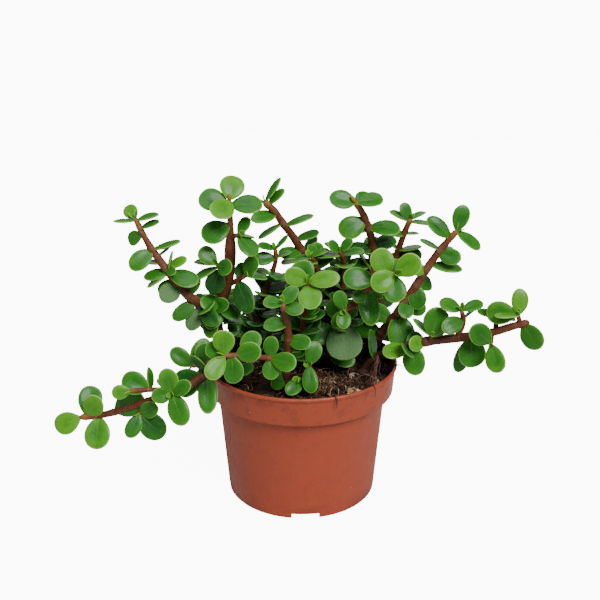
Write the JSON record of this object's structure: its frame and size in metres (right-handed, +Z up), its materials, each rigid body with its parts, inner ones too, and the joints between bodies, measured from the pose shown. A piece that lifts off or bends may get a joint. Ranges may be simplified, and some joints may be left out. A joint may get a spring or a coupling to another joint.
{
  "type": "potted elephant bush",
  "caption": "Young elephant bush: reddish branching stems with round fleshy paired leaves, rooted in soil in a round tapered plastic nursery pot.",
  "frame": {"origin": "on the pot's axis, in the plane of the surface that the pot stands on, under the centre of the bounding box", "axes": "+Z up along the pot's axis; the side in the picture looks along -Y; +X to the right as seen from there, along the crown's longest side"},
  "size_m": [0.2888, 0.148, 0.2035],
  "materials": {
    "pot_plastic": "smooth satin terracotta-coloured plastic",
    "potting_soil": "dark crumbly peat and coir",
    "leaves_and_stems": "glossy green fleshy leaves on reddish-brown stems"
  },
  "bodies": {
    "root": {"pot": "pot_plastic", "soil": "potting_soil", "left_tall_stem": "leaves_and_stems", "left_trailing_stem": "leaves_and_stems", "front_creeping_stem": "leaves_and_stems", "front_short_stem": "leaves_and_stems", "centre_front_stem": "leaves_and_stems", "centre_rear_stem": "leaves_and_stems", "right_main_stem": "leaves_and_stems", "right_leaning_stem": "leaves_and_stems", "right_spreading_stem": "leaves_and_stems", "rear_bud_stem": "leaves_and_stems", "rear_right_stem": "leaves_and_stems", "rear_arching_stem": "leaves_and_stems", "centre_left_stem": "leaves_and_stems", "back_left_stem": "leaves_and_stems", "back_centre_stem": "leaves_and_stems", "back_right_stem": "leaves_and_stems"}
  },
  "joints": []
}
